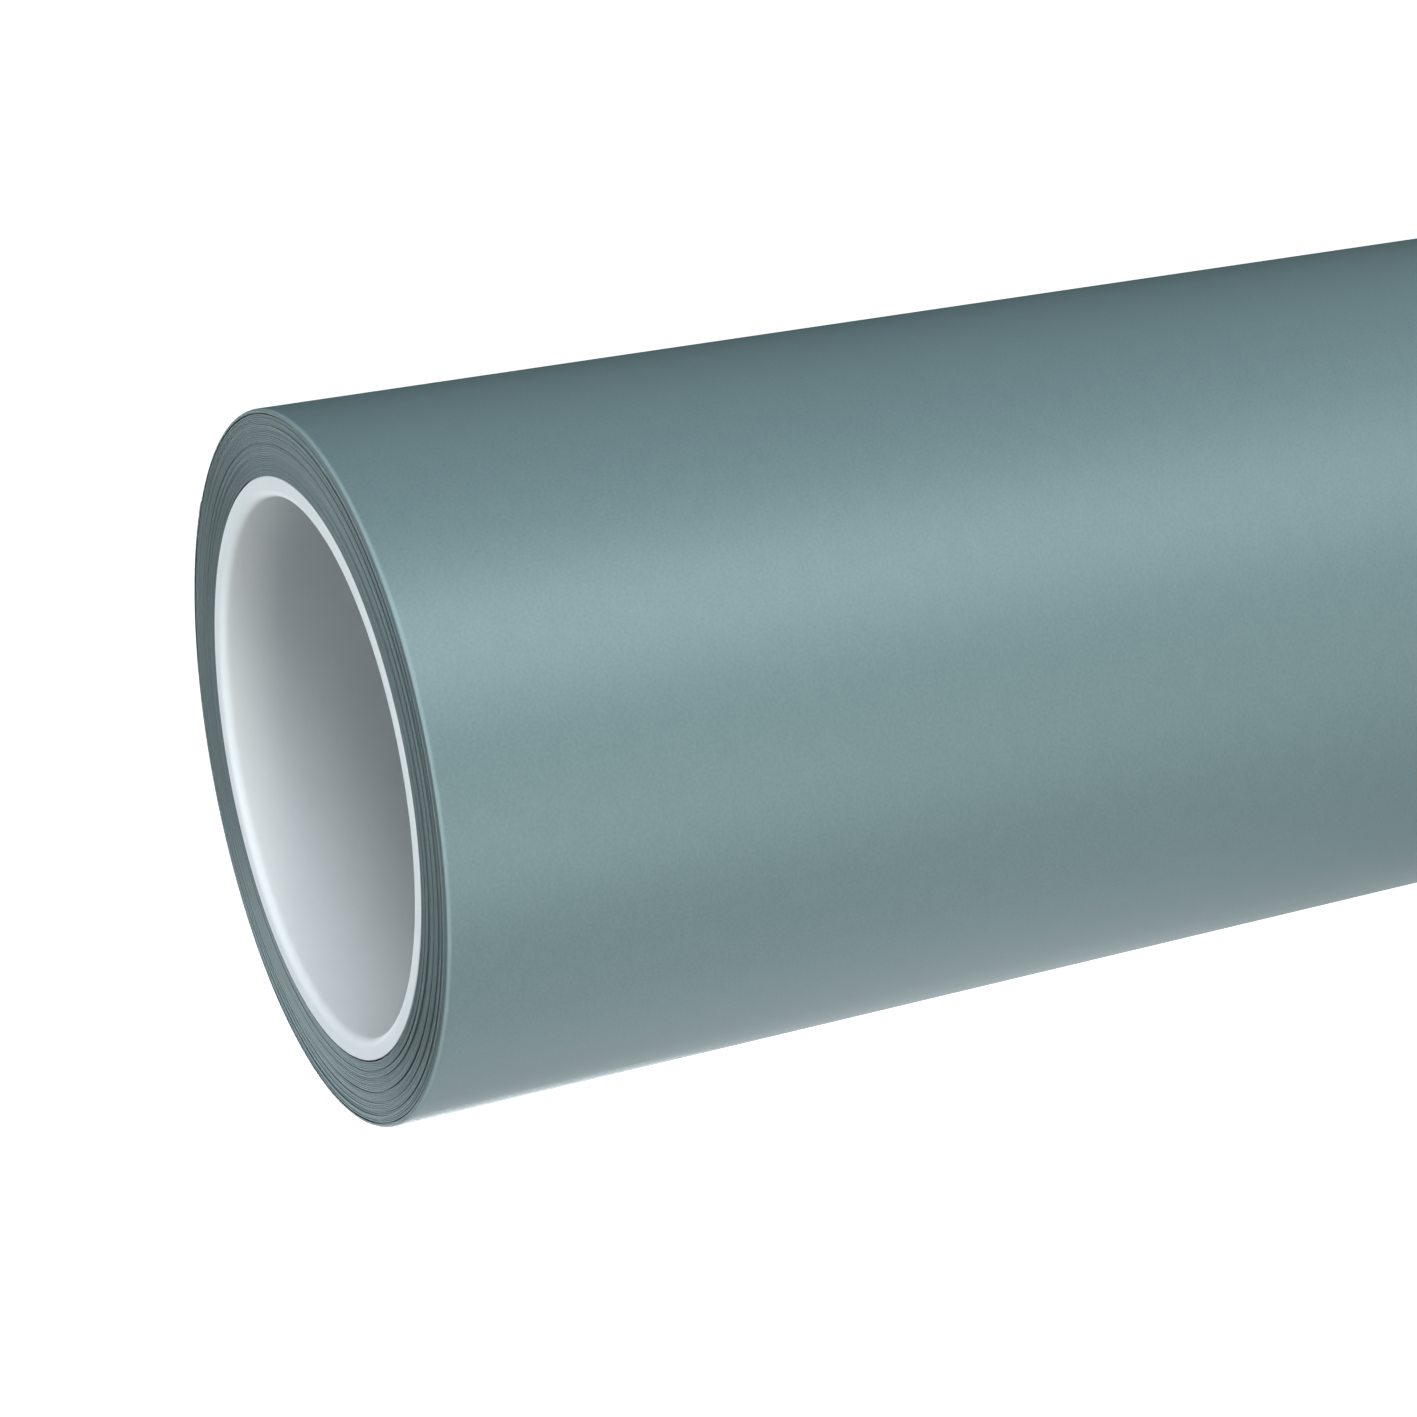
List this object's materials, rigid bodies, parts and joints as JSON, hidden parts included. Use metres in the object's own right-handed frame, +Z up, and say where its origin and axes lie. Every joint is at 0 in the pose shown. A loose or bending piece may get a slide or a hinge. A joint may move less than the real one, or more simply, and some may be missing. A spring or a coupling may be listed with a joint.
{
  "type": "backdrop paper roll",
  "caption": "Roll of satin grey-blue backdrop sheet on a thin white plastic core, with a leading end that unrolls and hangs down.",
  "frame": {"origin": "centre of the core's bore, at the middle of the roll's length", "axes": "+X along the roll, -Y towards the front where the sheet hangs down, +Z up"},
  "size_m": [1.35, 0.1012, 0.101],
  "materials": {
    "core_plastic": "satin white",
    "start_tape": "double-sided tape",
    "satin_sheet": "satin",
    "closing_tape": "satin"
  },
  "bodies": {
    "roll": {"core_tube": "core_plastic", "start_tape": "start_tape", "wound_sheet": "satin_sheet"},
    "sheet_01": {"outer_turn_panel_01": "satin_sheet"},
    "sheet_02": {"outer_turn_panel_02": "satin_sheet"},
    "sheet_03": {"outer_turn_panel_03": "satin_sheet"},
    "sheet_04": {"outer_turn_panel_04": "satin_sheet"},
    "sheet_05": {"outer_turn_panel_05": "satin_sheet"},
    "sheet_06": {"outer_turn_panel_06": "satin_sheet"},
    "sheet_07": {"outer_turn_panel_07": "satin_sheet"},
    "sheet_08": {"outer_turn_panel_08": "satin_sheet"},
    "sheet_09": {"outer_turn_panel_09": "satin_sheet"},
    "sheet_10": {"outer_turn_panel_10": "satin_sheet"},
    "sheet_11": {"outer_turn_panel_11": "satin_sheet"},
    "sheet_12": {"outer_turn_panel_12": "satin_sheet"},
    "sheet_13": {"outer_turn_panel_13": "satin_sheet"},
    "sheet_14": {"outer_turn_panel_14": "satin_sheet", "closing_tab_left": "closing_tape", "closing_tab_middle": "closing_tape", "closing_tab_right": "closing_tape"}
  },
  "joints": [
    {"name": "sheet_unroll", "type": "hinge", "parent": "roll", "child": "sheet_01", "pos_m": [0, -0.0506, 0], "axis": [-1, 0, 0], "range_deg": [0, 7], "stiffness_Nm_per_rad": 0.08, "springref_deg": -28.65},
    {"name": "sheet_bend_02", "type": "hinge", "parent": "sheet_01", "child": "sheet_02", "pos_m": [0, -0.0491, -0.01224], "axis": [-1, 0, 0], "range_deg": [0, 14], "stiffness_Nm_per_rad": 0.08, "springref_deg": -28.65},
    {"name": "sheet_bend_03", "type": "hinge", "parent": "sheet_02", "child": "sheet_03", "pos_m": [0, -0.04468, -0.02376], "axis": [-1, 0, 0], "range_deg": [0, 14], "stiffness_Nm_per_rad": 0.08, "springref_deg": -28.65},
    {"name": "sheet_bend_04", "type": "hinge", "parent": "sheet_03", "child": "sheet_04", "pos_m": [0, -0.0376, -0.03386], "axis": [-1, 0, 0], "range_deg": [0, 14], "stiffness_Nm_per_rad": 0.08, "springref_deg": -28.65},
    {"name": "sheet_bend_05", "type": "hinge", "parent": "sheet_04", "child": "sheet_05", "pos_m": [0, -0.0283, -0.04195], "axis": [-1, 0, 0], "range_deg": [0, 14], "stiffness_Nm_per_rad": 0.08, "springref_deg": -28.65},
    {"name": "sheet_bend_06", "type": "hinge", "parent": "sheet_05", "child": "sheet_06", "pos_m": [0, -0.01731, -0.04755], "axis": [-1, 0, 0], "range_deg": [0, 14], "stiffness_Nm_per_rad": 0.08, "springref_deg": -28.65},
    {"name": "sheet_bend_07", "type": "hinge", "parent": "sheet_06", "child": "sheet_07", "pos_m": [0, -0.00529, -0.05032], "axis": [-1, 0, 0], "range_deg": [0, 14], "stiffness_Nm_per_rad": 0.08, "springref_deg": -28.65},
    {"name": "sheet_bend_08", "type": "hinge", "parent": "sheet_07", "child": "sheet_08", "pos_m": [0, 0.00704, -0.05011], "axis": [-1, 0, 0], "range_deg": [0, 14], "stiffness_Nm_per_rad": 0.08, "springref_deg": -28.65},
    {"name": "sheet_bend_09", "type": "hinge", "parent": "sheet_08", "child": "sheet_09", "pos_m": [0, 0.01896, -0.04692], "axis": [-1, 0, 0], "range_deg": [0, 14], "stiffness_Nm_per_rad": 0.08, "springref_deg": -28.65},
    {"name": "sheet_bend_10", "type": "hinge", "parent": "sheet_09", "child": "sheet_10", "pos_m": [0, 0.02974, -0.04094], "axis": [-1, 0, 0], "range_deg": [0, 14], "stiffness_Nm_per_rad": 0.08, "springref_deg": -28.65},
    {"name": "sheet_bend_11", "type": "hinge", "parent": "sheet_10", "child": "sheet_11", "pos_m": [0, 0.03876, -0.03253], "axis": [-1, 0, 0], "range_deg": [0, 14], "stiffness_Nm_per_rad": 0.08, "springref_deg": -28.65},
    {"name": "sheet_bend_12", "type": "hinge", "parent": "sheet_11", "child": "sheet_12", "pos_m": [0, 0.04548, -0.02218], "axis": [-1, 0, 0], "range_deg": [0, 14], "stiffness_Nm_per_rad": 0.08, "springref_deg": -28.65},
    {"name": "sheet_bend_13", "type": "hinge", "parent": "sheet_12", "child": "sheet_13", "pos_m": [0, 0.04949, -0.01052], "axis": [-1, 0, 0], "range_deg": [0, 14], "stiffness_Nm_per_rad": 0.08, "springref_deg": -28.65},
    {"name": "sheet_bend_14", "type": "hinge", "parent": "sheet_13", "child": "sheet_14", "pos_m": [0, 0.05057, 0.00177], "axis": [-1, 0, 0], "range_deg": [0, 14], "stiffness_Nm_per_rad": 0.08, "springref_deg": -28.65}
  ],
  "couplings": [
    {"joint": "sheet_bend_02", "follows": "sheet_unroll", "ratio": 2},
    {"joint": "sheet_bend_03", "follows": "sheet_unroll", "ratio": 2},
    {"joint": "sheet_bend_04", "follows": "sheet_unroll", "ratio": 2},
    {"joint": "sheet_bend_05", "follows": "sheet_unroll", "ratio": 2},
    {"joint": "sheet_bend_06", "follows": "sheet_unroll", "ratio": 2},
    {"joint": "sheet_bend_07", "follows": "sheet_unroll", "ratio": 2},
    {"joint": "sheet_bend_08", "follows": "sheet_unroll", "ratio": 2},
    {"joint": "sheet_bend_09", "follows": "sheet_unroll", "ratio": 2},
    {"joint": "sheet_bend_10", "follows": "sheet_unroll", "ratio": 2},
    {"joint": "sheet_bend_11", "follows": "sheet_unroll", "ratio": 2},
    {"joint": "sheet_bend_12", "follows": "sheet_unroll", "ratio": 2},
    {"joint": "sheet_bend_13", "follows": "sheet_unroll", "ratio": 2},
    {"joint": "sheet_bend_14", "follows": "sheet_unroll", "ratio": 2}
  ]
}
